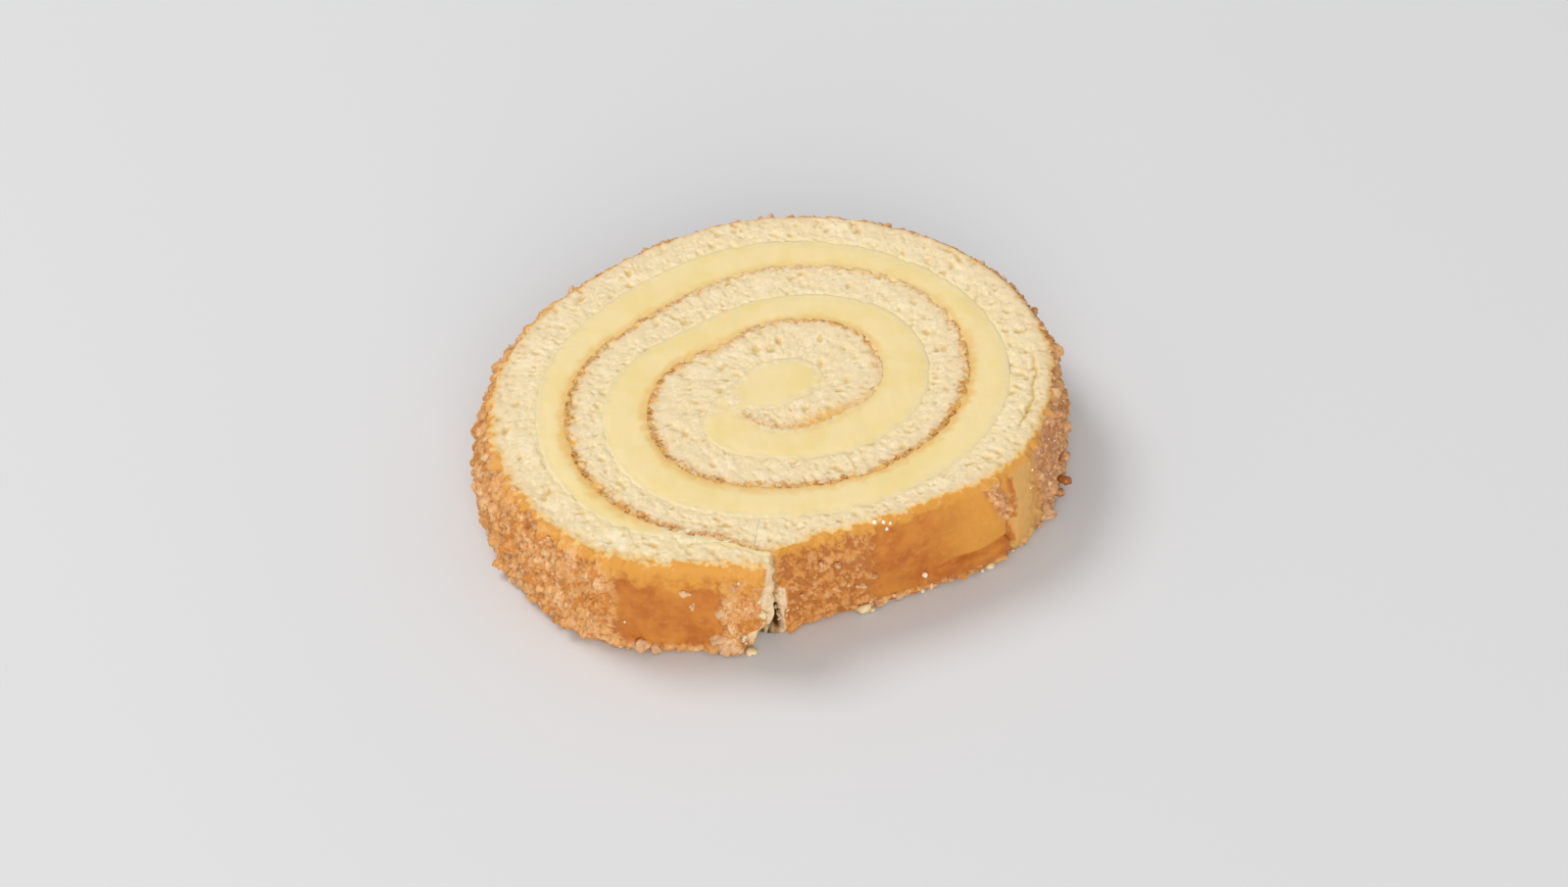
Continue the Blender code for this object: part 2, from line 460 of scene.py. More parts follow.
def sheet_section(angle, wall_columns):
    """Radii, heights and uprightness (0 level, 1 upright) of the sheet's cross-section at each angle.

    It starts at the cream, crosses the cut face to the rim, and goes down the wall and back under.
    """
    outside = outside_share(angle)[:, None]
    crust, spread = crust_radius(angle)[:, None], spread_radius(angle)[:, None]
    inset, drop, foot_inset, foot_rise = (
        LEAST_ROUNDING + (size - LEAST_ROUNDING) * outside
        for size in (RIM_INSET, RIM_DROP, FOOT_INSET, FOOT_RISE)
    )
    edge = spread + ragged_edge(angle)[:, None]
    top = edge + np.linspace(0.0, 1.0, TOP_COLUMNS) * (crust - inset - edge)
    bend = np.linspace(0.0, 0.5 * np.pi, RIM_COLUMNS + 1)[1:]
    rim_height = THICKNESS - drop * (1.0 - np.cos(bend))
    wall_share = np.linspace(0.0, 1.0, wall_columns + 2)[1:-1]
    wall_height = rim_height[:, -1:] + wall_share * (foot_rise - rim_height[:, -1:])
    foot_bend = np.linspace(0.0, 0.5 * np.pi, FOOT_COLUMNS)
    foot_height = foot_rise * (1.0 - np.sin(foot_bend))
    side_height = np.concatenate([rim_height, wall_height, foot_height], axis=1)
    rim = crust - inset * (1.0 - np.sin(bend))
    foot = crust - foot_inset * (1.0 - np.cos(foot_bend))
    side = np.concatenate([rim, crust + 0.0 * wall_height, foot], axis=1)
    side = side + wall_offset(angle[:, None], side_height)
    under = side[:, -1:] + np.linspace(0.0, 1.0, UNDER_COLUMNS + 1)[1:] * (spread - side[:, -1:])
    radii = np.concatenate([top, side, under], axis=1)
    heights = np.concatenate([THICKNESS + 0.0 * top, side_height, 0.0 * under], axis=1)
    down = [np.sin(bend), np.ones(wall_columns), np.cos(foot_bend)]
    upright = np.concatenate([np.zeros(TOP_COLUMNS), *down, np.zeros(UNDER_COLUMNS)])
    return radii, heights, np.broadcast_to(upright, radii.shape)


def wall_relief(points, angle, height):
    """How far the outer wall's surface stands out of its plain form, and the granules' share of that."""
    knobs, tones = granules(points)
    rough = crumbliness(angle, height)
    waves = 0.35 * noise_at(points, 9.0, 2, 3.0)
    grit = (0.07 + 0.33 * rough) * noise_at(points, 1.1, 4, 7.0)
    relief = waves + grit + knobs - 0.25 * rough - fold_crease(angle, height)
    return relief, knobs, tones


def right_crack(points, angle, crust_mm):
    """The depth of a crack that runs along the outer turn on its right."""
    line = crust_mm - 3.4 - 0.5 * noise_at(points, 2.5, 2, 33.0)
    ends = smooth_step(258.0, 266.0, angle) * (1.0 - smooth_step(284.0, 290.0, angle))
    return 0.6 * np.exp(-((line / 0.28) ** 2)) * ends


def crumb_relief(points, pits, spread_mm, crust_mm, outside):
    """The cut face's torn surface, above its plane. It is calm where the cream has soaked it."""
    torn = 0.16 * noise_at(points, 5.0, 2, 11.0)
    torn += 0.24 * noise_at(points * (1.0, 0.75, 1.0), 1.4, 4, 23.0)
    ragged = spread_mm + 0.8 * noise_at(points, 2.0, 3, 27.0)
    firm = smooth_step(-0.2, 1.2, ragged)
    sunk = EDGE_SINKING * (1.0 - smooth_step(0.1, 1.2, ragged))
    line = np.exp(-((crust_mm / 1.0) ** 2)) * (1.0 - outside)
    return (torn - pits) * firm - sunk + 0.22 * line * noise_at(points, 0.8, 2, 31.0)


def close_loose_end(points, attributes):
    """Rings of points that close the torn end of the sheet, and the same numbers for them."""
    first = points[0]
    centre = first.mean(0)
    outward = points[0].mean(0) - points[3].mean(0)
    outward /= np.linalg.norm(outward)
    rings = np.array([centre + size * (first - centre) + out * outward for size, out in END_RINGS])
    rings += 0.5 * noise_at(rings, 1.4, 3, 87.0)[..., None] * outward
    rings[..., 2] = np.maximum(rings[..., 2], 0.0)
    # They carry the look of torn crumb.
    fixed = {"torn": 1.0, "crust_mm": 5.0, "spread_mm": 5.0, "outside": 0.0}
    numbers = {}
    for name, values in attributes.items():
        carried = np.full(rings.shape[:2], fixed.get(name, values[0].mean()))
        numbers[name] = np.concatenate([carried, values])
    return rings[::-1], numbers


def face_relief(plain, angles, crust_mm, spread_mm):
    """The depth of the pits, and the lift of the surface, on the cut face and the under side."""
    pits, lift = np.zeros(angles.shape), np.zeros(angles.shape)
    face = slice(0, TOP_COLUMNS + RIM_COLUMNS)
    points, angle, crust = plain[:, face], angles[:, face], crust_mm[:, face]
    torn = crumb_pits(points, CRUMB_PITS, 1) + right_crack(points, angle, crust)
    pits[:, face] = torn
    lift[:, face] = crumb_relief(points, torn, spread_mm[:, face], crust, outside_share(angle))
    lift[:, -UNDER_COLUMNS:] = np.abs(0.12 * noise_at(plain[:, -UNDER_COLUMNS:], 1.6, 2, 41.0))
    return pits, lift


def outer_relief(plain, angles, height):
    """Relief, granules and tones as wall_relief gives them on the outer wall, and none elsewhere."""
    push, knobs, tones = np.zeros(angles.shape), np.zeros(angles.shape), np.full(angles.shape, 0.5)
    rows = angles[:, 0] < FULL_TURN + SHEET_START + 2.0
    wall = np.ix_(rows, np.arange(TOP_COLUMNS - 4, angles.shape[1] - UNDER_COLUMNS + 2))
    if wall[0].size:
        push[wall], knobs[wall], tones[wall] = wall_relief(plain[wall], angles[wall], height[wall])
    return push, knobs, tones


def sponge_looks(plain, angles, height, upright, crust_mm):
    """The numbers that the sponge's material reads, apart from those of its relief."""
    browned = browned_share(angles)
    # Painted shade: the deeper the groove and the hole beside the loose end, the darker they are painted.
    painted_hollow_shade = np.clip(seam_gap(angles, height) / 3.0, 0.0, 1.0) * (angles > 180.0)
    beside_line = np.exp(-(((crust_mm - 0.8) / 1.6) ** 2))
    return {
        "torn": tornness(plain, angles, height) * browned,
        "outside": browned,
        "rim_share": crust_mm / np.interp(angles, *RIM_WIDTHS),
        "band_share": (THICKNESS - height) / np.interp(angles, *RIM_BANDS),
        "painted_hollow_shade": painted_hollow_shade * upright,
        "ridge": ridge_share(angles, height),
        "line": through_knots(LINE_STRENGTHS, angles),
        "smear": swelling(angles, ORANGE_SMEAR_AT, 32.0) * beside_line,
        "around": angles,
        "rough": crumbliness(angles, height) * browned,
        "level": height,
    }


def sponge_bake_map(plain, quads):
    """Map places for every corner: the faces in plan, the wall and the side in strips, then the caps."""
    rows, columns = plain.shape[:2]
    column = quads[:, 0] % columns
    first, last = TOP_COLUMNS + RIM_COLUMNS - 1, columns - UNDER_COLUMNS - 1
    wall = (column >= first) & (column < last)
    below = (column >= last) & (column < columns - 1)
    side = column == columns - 1
    bake = chart_corners(planar_chart(plain, *TOP_CHART), quads)
    bake[below] = chart_corners(planar_chart(plain, *UNDER_CHART), quads[below])
    bake[wall] = strip_chart(quads[wall], rows, columns, first, last)
    bake[side] = strip_chart(quads[side], rows, columns, columns - 1, columns)[..., ::-1]
    turn = np.linspace(0.0, 2.0 * np.pi, columns, endpoint=False)
    ring = 0.005 * np.stack([np.cos(turn), np.sin(turn)], axis=-1)
    caps = [ring + (0.99, 0.72), ring[::-1] + (0.99, 0.70)]
    return np.concatenate([bake[:, ::-1].reshape(-1, 2), *caps])


def make_turns(name, angle, wall_columns, material):
    """Some of the sheet's turns: both cut faces, the wall, and the side that lies against the cream."""
    radius, height, upright = sheet_section(angle, wall_columns)
    angles = np.broadcast_to(angle[:, None], radius.shape)
    plain = spiral_points(angles, radius, height)
    crust_mm = np.clip(crust_radius(angles) + wall_offset(angles, height) - radius, 0.0, 20.0)
    spread_mm = np.clip(radius - spread_radius(angles), 0.0, 20.0)
    pits, lift = face_relief(plain, angles, crust_mm, spread_mm)
    push, knobs, tones = outer_relief(plain, angles, height)

    push = (push * browned_share(angles) - seam_gap(angles, height)) * upright
    turned = angles + torn_back(angles, height)
    points = spiral_points(turned, radius + push, height + lift * (1.0 - upright))
    points[..., 2] = np.maximum(points[..., 2], 0.0)
    numbers = {"crust_mm": crust_mm, "spread_mm": spread_mm, "pit": pits, "knob": knobs, "tone": tones}
    numbers.update(sponge_looks(plain, angles, height, upright, crust_mm))
    if angle[0] == SHEET_START:
        rings, numbers = close_loose_end(points, numbers)
        points, plain = np.concatenate([rings, points]), np.concatenate([rings, plain])

    rows, columns = points.shape[:2]
    quads = grid_quads(rows, columns, closed=True)
    last_row = (rows - 1) * columns
    caps = [list(range(columns)), [last_row + place for place in reversed(range(columns))]]
    faces = quads[:, ::-1].tolist() + caps
    piece = new_piece(name, points, faces, material, numbers, sponge_bake_map(plain, quads))
    # Flat caps keep the two pieces' shading level across the cut between them.
    for cap in list(piece.data.polygons)[-len(caps) :]:
        cap.use_smooth = False
    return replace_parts(piece, "sponge")


def make_sponge(material):
    """The sheet, parted into the turn whose crust shows and the turns inside it."""
    angle = even_angles(SHEET_START, SHEET_END, CRUMB_CELL)
    split = int(np.searchsorted(angle, SPLIT_ANGLE))
    outer = make_turns("sponge_outer_turn", angle[: split + 1], WALL_COLUMNS, material)
    inner = make_turns("sponge_inner_turns", angle[split:], 1, material)
    return [outer, inner]


# ---------------------------------------------------------------------------------------------
# The cream.


def cream_distances(x, y):
    """How far each place is from the spread side outside it and from the crust line inside it."""
    away = np.stack([x, y], axis=-1) - POLE
    radius = np.hypot(away[..., 0], away[..., 1])
    clock = np.degrees(np.arctan2(-away[..., 0], -away[..., 1])) % FULL_TURN
    to_spread = np.full(radius.shape, -50.0)
    to_crust = np.full(radius.shape, -50.0)
    line = np.zeros(radius.shape)
    for turn in range(4):
        angle = clock + FULL_TURN * turn
        outer = spread_radius(np.minimum(angle, SHEET_END))
        inner = np.where(angle + FULL_TURN <= SHEET_END, crust_radius(angle + FULL_TURN), -30.0)
        valid = (angle >= SHEET_START) & (angle <= SHEET_END)
        room = np.minimum(outer - radius, radius - inner)
        better = valid & (room > np.minimum(to_spread, to_crust))
        to_spread = np.where(better, outer - radius, to_spread)
        to_crust = np.where(better, radius - inner, to_crust)
        line = np.where(better, through_knots(LINE_STRENGTHS, angle + FULL_TURN), line)
    return to_spread, to_crust, line


def cream_surface(plain, room, smear, pits):
    """Heights of the cream's top: a little domed, dragged by the knife, pitted where crumbs hide it."""
    dome = 0.10 * smooth_step(0.0, 2.0, room) - 0.06
    drag = 0.07 * noise_at(plain * (1.0, 0.35, 1.0), 2.5, 2, 51.0) + 0.10 * noise_at(plain, 8.0, 1, 53.0)
    ragged = 0.12 * noise_at(plain, 1.3, 3, 57.0) * np.exp(-((room / 0.9) ** 2))
    surface = THICKNESS + dome + drag * smooth_step(0.0, 1.0, room) + ragged - 0.8 * pits
    return surface + smear * (0.12 * noise_at(plain, 1.3, 3, 67.0) + 0.08)


def cream_bake_map(points, top_quads, side_count):
    """Map places for every corner: the top and the under side in plan, the upright quads in a row."""
    top = planar_chart(points, *TOP_CHART).reshape(-1, 2)
    under = planar_chart(points, *UNDER_CHART).reshape(-1, 2)
    start = np.stack([np.linspace(0.01, 0.7, side_count), np.full(side_count, 0.75)], axis=-1)
    corners = ((0.0, 0.0), (0.0002, 0.0), (0.0002, 0.01), (0.0, 0.01))
    sides = np.stack([start + corner for corner in corners], axis=1)
    return np.concatenate([top[top_quads], under[top_quads[:, ::-1]], sides]).reshape(-1, 2)


def make_cream(material):
    """The filling: a level sheet of cream between the turns, tucked just under the crumb's edges."""
    low, high = (np.array(corner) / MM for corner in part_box("filling"))
    xs = np.arange(low[0] - 1.0, high[0] + 1.0, CREAM_CELL)
    ys = np.arange(low[1] - 1.0, high[1] + 1.0, CREAM_CELL)
    x, y = np.meshgrid(xs, ys, indexing="ij")
    to_spread, to_crust, line = cream_distances(x, y)
    half = CREAM_CELL / 2
    cell_spread, cell_crust, _ = cream_distances(x[:-1, :-1] + half, y[:-1, :-1] + half)
    keep = np.minimum(cell_spread, cell_crust) > -CREAM_UNDERLAP

    room = np.minimum(to_spread, to_crust)
    plain = np.stack([x, y, np.full_like(x, THICKNESS)], axis=-1)
    smear = crumb_smear(plain, room)
    pits = crumb_pits(plain, CREAM_PITS, 61) * smear
    tucked = 0.7 * smooth_step(0.2, 1.4, -room)
    top = np.stack([x, y, cream_surface(plain, room, smear, pits) - tucked], axis=-1)
    bottom = np.stack([x, y, 0.05 + tucked], axis=-1)
    both = np.concatenate([top.reshape(-1, 3), bottom.reshape(-1, 3)])

    columns, count = len(ys), x.size
    cell = np.argwhere(keep)
    here = cell[:, 0] * columns + cell[:, 1]
    top_quads = np.stack([here, here + columns, here + columns + 1, here + 1], axis=1)
    sides = side_quads(keep, columns, count)
    quads = np.concatenate([top_quads, top_quads[:, ::-1] + count, sides])
    used = np.unique(quads)
    renumber = np.zeros(2 * count, int)
    renumber[used] = np.arange(len(used))
    numbers = {
        "to_crust": np.clip(to_crust, -1.0, 20.0),
        "to_spread": np.clip(to_spread, -1.0, 20.0),
        "line": line,
        "pit": pits,
        "smear": smear,
    }
    for name, values in numbers.items():
        numbers[name] = np.concatenate([values.ravel(), values.ravel()])[used]
    faces = renumber[quads].tolist()
    bake_map = cream_bake_map(top, top_quads, len(sides))
    piece = new_piece("lemon_cream", both[used], faces, material, numbers, bake_map)
    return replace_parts(piece, "filling")


# For each side of a cell: the way to the neighbour across it, and the side's two corners.
CELL_SIDES = (
    ((-1, 0), (0, 1), (0, 0)),
    ((1, 0), (1, 0), (1, 1)),
    ((0, -1), (0, 0), (1, 0)),
    ((0, 1), (1, 1), (0, 1)),
)


def side_quads(keep, columns, count):
    """The upright quads round the edge of the kept cells, between the top and the bottom points."""
    padded = np.pad(keep, 1)
    sides = []
    for (step_x, step_y), first, second in CELL_SIDES:
        neighbour = padded[1 + step_x :, 1 + step_y :][: keep.shape[0], : keep.shape[1]]
        cell = np.argwhere(keep & ~neighbour)
        start = (cell[:, 0] + first[0]) * columns + cell[:, 1] + first[1]
        end = (cell[:, 0] + second[0]) * columns + cell[:, 1] + second[1]
        sides.append(np.stack([end, start, start + count, end + count], axis=1))
    return np.concatenate(sides)


def crumb_smear(points, room):
    """Where crumbs hide the cream: by the sheet's inner end, round the middle, and by the loose end."""
    away = points[..., :2] - POLE
    radius = np.hypot(away[..., 0], away[..., 1])
    clock = np.degrees(np.arctan2(-away[..., 0], -away[..., 1])) % FULL_TURN
    neck = swelling(clock, 82.0, 26.0)
    neck = neck * smooth_step(7.0, 9.5, radius) * (1.0 - smooth_step(14.5, 16.5, radius))
    edge = np.exp(-((room / 0.9) ** 2)) * (1.0 - smooth_step(11.0, 16.0, radius))
    tail = (1.0 - smooth_step(20.0, 38.0, clock)) * smooth_step(32.0, 36.0, radius)
    ragged = 1.0 + 1.6 * noise_at(points, 1.8, 3, 71.0)
    return np.clip((neck + 0.7 * edge) * ragged + tail * (1.0 + 0.6 * ragged), 0.0, 1.0)


# ---------------------------------------------------------------------------------------------
# Loose and baked-on pieces.


def lump(size, seed, detail, flatness=1.0):
    """One irregular crumb: the points and triangles of a rough ball about size mm across."""
    made = bmesh.new()
    bmesh.ops.create_icosphere(made, subdivisions=detail, radius=0.5)
    points = np.array([vertex.co[:] for vertex in made.verts])
    faces = [[vertex.index for vertex in face.verts] for face in made.faces]
    made.free()
    draw = np.random.default_rng(seed)
    swell = 1.0 + 0.55 * noise_at(points, 0.5, 2, seed * 0.37)
    swell += 0.20 * noise_at(points, 0.2, 1, seed * 0.71)
    points = points * swell[:, None] * (size * draw.uniform(0.6, 1.2, 3))
    points[:, 2] *= flatness
    turn = Matrix.Rotation(draw.uniform(0.0, 6.28), 3, "Z")
    tilt = Matrix.Rotation(draw.uniform(-0.5, 0.5), 3, "X")
    return points @ np.array(turn @ tilt).T, faces


def joined_lumps(name, places, sizes, tones, material, seed, detail=2, flatness=1.0, on_floor=False):
    """Many crumbs as one mesh. tones gives each its own shade, 0 pale to 1 dark."""
    all_points, all_faces, all_tones, count = [], [], [], 0
    for number, (place, size, tone) in enumerate(zip(places, sizes, tones)):
        points, faces = lump(size, seed + number, detail, flatness)
        points = points + place
        if on_floor:
            points[:, 2] -= points[:, 2].min()
        points[:, 2] = np.maximum(points[:, 2], 0.02)
        all_points.append(points)
        all_faces += [[index + count for index in face] for face in faces]
        all_tones.append(np.full(len(points), tone))
        count += len(points)
    numbers = {"tone": np.concatenate(all_tones)}
    return new_piece(name, np.concatenate(all_points), all_faces, material, numbers)


def on_wall(angle, height, out):
    """Points just outside the outer wall."""
    angle, height = np.asarray(angle, float), np.asarray(height, float)
    return spiral_points(angle, crust_radius(angle) + wall_offset(angle, height) + out, height)


def baked_crumbs(material):
    """Crumbs stuck to the crust: over its crumbly parts, along the rim at the back, and round the foot."""
    draw = np.random.default_rng(17)
    angle = draw.uniform(SHEET_START + 6.0, FULL_TURN - 2.0, WALL_CRUMBS)
    height = draw.uniform(0.6, THICKNESS - 1.2, WALL_CRUMBS)
    kept = draw.uniform(size=WALL_CRUMBS) < 0.5 * smooth_step(0.1, 1.0, crumbliness(angle, height))
    angle, height = angle[kept], height[kept]
    sizes = np.clip(draw.lognormal(math.log(0.85), 0.4, len(angle)), 0.45, 1.9)
    places = [on_wall(angle, height, 0.1)]
    rim_angle = np.concatenate([draw.uniform(95.0, 285.0, 120), draw.uniform(38.0, 95.0, 18)])
    rim_height = THICKNESS - draw.uniform(0.2, 1.7, len(rim_angle))
    rim_size = np.clip(draw.lognormal(math.log(0.75), 0.4, len(rim_angle)), 0.4, 1.7)
    rim_out = -1.1 * smooth_step(THICKNESS - 1.6, THICKNESS, rim_height)
    places.append(on_wall(rim_angle, rim_height, rim_out))
    foot_angle = draw.uniform(SHEET_START + 8.0, 350.0, FOOT_CRUMBS)
    foot_size = np.clip(draw.lognormal(math.log(0.95), 0.4, FOOT_CRUMBS), 0.5, 2.2)
    places.append(on_wall(foot_angle, 0.45 * foot_size, -0.2 + 0.0 * foot_size))
    places = np.concatenate(places)
    sizes = np.concatenate([sizes, rim_size, foot_size])
    tones = draw.uniform(0.15, 0.75, len(places))
    return joined_lumps("baked_crumbs", places, sizes, tones, material, 100)


# Larger lumps that stand out: angle, height, how far out, size and shade.
LUMPS = (
    (13.6, 1.8, 0.4, 3.6, 0.35),
    (14.6, 4.2, 0.0, 2.6, 0.35),
    (12.0, 2.4, -0.1, 2.6, 0.35),
    (29.0, 2.2, 0.3, 2.6, 0.45),
    (26.5, 1.1, 0.2, 2.0, 0.5),
    (20.7, 14.2, 0.0, 1.7, 0.3),
    (19.2, 11.6, 0.0, 1.4, 0.3),
    (14.3, 10.3, -0.2, 2.8, 0.35),
    (12.7, 9.9, -0.3, 2.2, 0.3),
    (279.5, 7.3, 0.8, 2.0, 0.8),
    (281.5, 3.4, 1.2, 2.4, 1.0),
    (283.0, 1.4, 0.8, 1.8, 0.9),
    (178.0, 18.4, -0.3, 1.7, 0.35),
    (171.0, 18.2, -0.2, 1.4, 0.4),
    (204.0, 18.0, -0.2, 1.5, 0.5),
    (127.0, 18.0, 0.0, 2.2, 0.35),
    (148.0, 18.0, -0.1, 1.8, 0.4),
    (228.0, 17.8, 0.0, 1.4, 0.7),
)


def large_lumps(material):
    """The lumps in LUMPS."""
    rows = np.array(LUMPS)
    places = on_wall(rows[:, 0], rows[:, 1], rows[:, 2])
    return joined_lumps("crust_lumps", places, rows[:, 3], rows[:, 4], material, 900, detail=3)


def loose_crumbs(material):
    """Pale crumbs that lie round the foot."""
    angle = np.array([341.5, 339.8, 309.0, 311.0, 326.0, 8.5, 60.0, 150.0, 205.0, 262.0])
    out = np.array([0.3, 0.7, 0.2, 0.5, 0.1, 0.2, 0.4, 0.9, 1.2, 0.8])
    sizes = np.array([2.3, 1.5, 2.0, 1.2, 1.0, 1.6, 1.3, 1.2, 0.9, 1.2])
    places = on_wall(angle, 0.4 * sizes, out)
    tones = np.zeros(len(angle))
    return joined_lumps(
        "loose_crumbs", places, sizes, tones, material, 1300, flatness=0.7, on_floor=True
    )


def torn_sponge(material):
    """Torn crumbs at the seam: down the loose end, and on the bare strip across the groove."""
    draw = np.random.default_rng(29)
    height = draw.uniform(3.2, THICKNESS - 1.0, FLAP_CRUMBS)
    angle = SHEET_START + 0.3 + torn_back(0.0 * height + SHEET_START, height)
    angle += draw.exponential(0.7, FLAP_CRUMBS) * (1.3 - height / THICKNESS)
    places = [on_wall(angle, height, -0.35 - seam_gap(angle, height))]
    height = draw.uniform(0.4, 11.0, STRIP_CRUMBS)
    angle = BARE_STRIP_AT + draw.normal(0.0, 0.7, STRIP_CRUMBS)
    places.append(on_wall(angle, height, -0.35 - seam_gap(angle, height)))
    count = FLAP_CRUMBS + STRIP_CRUMBS
    sizes = np.clip(draw.lognormal(math.log(0.8), 0.35, count), 0.45, 1.7)
    tones = draw.uniform(0.0, 0.8, count)
    return joined_lumps("torn_seam", np.concatenate(places), sizes, tones, material, 1700)


# Sugar crystals that can be told apart: angle, height and size.
SUGAR = (
    (338.2, 18.7, 0.7),
    (336.0, 18.3, 0.6),
    (334.4, 17.9, 0.5),
    (335.6, 17.3, 0.5),
    (325.9, 4.4, 0.8),
)
# Where smaller crystals are scattered: from which angle, to which, and how many.
SUGAR_SCATTER = ((345.0, 360.0, 4), (6.0, 90.0, 8), (270.0, 300.0, 12), (90.0, 270.0, 16))


def sugar_grains(material):
    """A few baked-on sugar crystals."""
    draw = np.random.default_rng(31)
    angle, height, sizes = np.array(SUGAR).T
    scattered = np.concatenate([draw.uniform(*stretch) for stretch in SUGAR_SCATTER])
    angle = np.concatenate([angle, scattered])
    height = np.concatenate([height, draw.uniform(1.5, 17.0, len(scattered))])
    sizes = np.concatenate([sizes, draw.uniform(0.2, 0.36, len(scattered))])
    places = on_wall(angle, height, 0.15 - 0.9 * smooth_step(17.0, 19.0, height))
    all_points, all_faces, count = [], [], 0
    for place, size in zip(places, sizes):
        made = bmesh.new()
        bmesh.ops.create_cube(made, size=size)
        bmesh.ops.bevel(made, geom=made.edges[:], offset=0.16 * size, segments=1, affect="EDGES")
        turn = Matrix.Rotation(draw.uniform(0.0, 3.0), 3, Vector(draw.normal(size=3)).normalized())
        points = np.array([vertex.co[:] for vertex in made.verts]) @ np.array(turn).T + place
        all_faces += [[vertex.index + count for vertex in face.verts] for face in made.faces]
        all_points.append(points)
        count += len(points)
        made.free()
    return new_piece("sugar_grains", np.concatenate(all_points), all_faces, material, {})


# ---------------------------------------------------------------------------------------------
# Materials.


class Nodes:
    """A material's node tree, with short calls for the nodes that the materials below share."""

    def __init__(self, name, roughness):
        self.material = bpy.data.materials.new(name)
        self.material.use_nodes = True
        self.tree = self.material.node_tree
        self.shader = self.tree.nodes["Principled BSDF"]
        self.shader.inputs["Roughness"].default_value = roughness
        self.shader.inputs["Specular IOR Level"].default_value = 0.3
        self.places = self.tree.nodes.new("ShaderNodeTexCoord").outputs["Object"]

    def link(self, source, socket):
        if isinstance(source, (int, float)):
            socket.default_value = source
        elif isinstance(source, tuple):
            socket.default_value = (*source, 1.0)
        else:
            self.tree.links.new(source, socket)

    def attribute(self, name):
        node = self.tree.nodes.new("ShaderNodeAttribute")
        node.attribute_name = name
        return node.outputs["Fac"]

    def math(self, operation, first, second):
        node = self.tree.nodes.new("ShaderNodeMath")
        node.operation = operation
        self.link(first, node.inputs[0])
        self.link(second, node.inputs[1])
        return node.outputs[0]

    def ramp(self, value, low, high, from_value=0.0, to_value=1.0):
        """from_value at low, to_value at high, smooth between them and level past them."""
        node = self.tree.nodes.new("ShaderNodeMapRange")
        node.interpolation_type = "SMOOTHSTEP"
        self.link(value, node.inputs["Value"])
        node.inputs["From Min"].default_value = low
        node.inputs["From Max"].default_value = high
        node.inputs["To Min"].default_value = from_value
        node.inputs["To Max"].default_value = to_value
        return node.outputs["Result"]

    def noise(self, size_mm, detail=2.0, stretch=(1.0, 1.0, 1.0), roughness=0.55):
        scaled = self.tree.nodes.new("ShaderNodeMapping")
        self.link(self.places, scaled.inputs["Vector"])
        scaled.inputs["Scale"].default_value = stretch
        node = self.tree.nodes.new("ShaderNodeTexNoise")
        self.link(scaled.outputs["Vector"], node.inputs["Vector"])
        node.inputs["Scale"].default_value = 1.0 / (size_mm * MM)
        node.inputs["Detail"].default_value = detail
        node.inputs["Roughness"].default_value = roughness
        return node.outputs["Fac"]

    def blotches(self, size_mm, low, high, from_value=0.0, to_value=1.0, detail=3.0):
        """Noise with its middle part, from low to high, spread over from_value to to_value."""
        return self.ramp(self.noise(size_mm, detail), low, high, from_value, to_value)

    def frayed(self, value, size_mm, amount, detail=3.0):
        """The value give or take some noise, so that an edge drawn from it looks torn."""
        return self.math("ADD", value, self.blotches(size_mm, 0.3, 0.7, -amount, amount, detail))

    def cells(self, size_mm):
        node = self.tree.nodes.new("ShaderNodeTexVoronoi")
        self.link(self.places, node.inputs["Vector"])
        node.inputs["Scale"].default_value = 1.0 / (size_mm * MM)
        return node.outputs["Distance"]

    def mix(self, share, first, second):
        node = self.tree.nodes.new("ShaderNodeMix")
        node.data_type = "RGBA"
        self.link(share, node.inputs["Factor"])
        self.link(first, node.inputs[6])
        self.link(second, node.inputs[7])
        return node.outputs[2]

    def times(self, *values):
        result = values[0]
        for value in values[1:]:
            result = self.math("MULTIPLY", result, value)
        return result

    def colour(self, source):
        self.link(source, self.shader.inputs["Base Color"])

    def bump(self, height, distance_mm, strength=1.0):
        node = self.tree.nodes.new("ShaderNodeBump")
        node.inputs["Strength"].default_value = strength
        node.inputs["Distance"].default_value = distance_mm * MM
        self.link(height, node.inputs["Height"])
        self.link(node.outputs["Normal"], self.shader.inputs["Normal"])

    def soft(self, weight, radius_mm):
        self.shader.inputs["Subsurface Weight"].default_value = weight
        self.shader.inputs["Subsurface Radius"].default_value = (1.0, 0.6, 0.3)
        self.shader.inputs["Subsurface Scale"].default_value = radius_mm * MM


CRUMB_PALE = (0.82, 0.65, 0.38)
# Paler crumb: partly its own tone and partly painted highlight.
CRUMB_PALER_AND_HIGHLIGHT = (0.92, 0.80, 0.57)
CRUMB_GREY = (0.74, 0.56, 0.34)
# Painted shade: the darker yellow of the crumb's pores, pits and crack.
CRUMB_PIT_SHADE = (0.68, 0.46, 0.13)
CREAM = (0.86, 0.69, 0.35)
CREAM_DEEP = (0.84, 0.66, 0.29)
LINE_DARK = (0.34, 0.12, 0.02)
LINE_TAN = (0.62, 0.31, 0.08)
STAIN = (0.80, 0.47, 0.13)
CRUST_BROWN = (0.46, 0.13, 0.015)
CRUST_ORANGE = (0.60, 0.22, 0.03)
CRUST_RIM = (0.72, 0.33, 0.05)
CRUST_YELLOW = (0.80, 0.50, 0.15)
CRUST_TAN = (0.72, 0.36, 0.12)
CRUST_FLAKE = (0.86, 0.57, 0.31)
CRUST_PINK = (0.56, 0.26, 0.13)
# Browner crust between the granules, darkened further as painted shade.
CREVICE_BROWN_AND_SHADE = (0.38, 0.11, 0.012)
CRUST_BARE = (0.70, 0.40, 0.12)
CRUMB_DARK = (0.38, 0.12, 0.02)
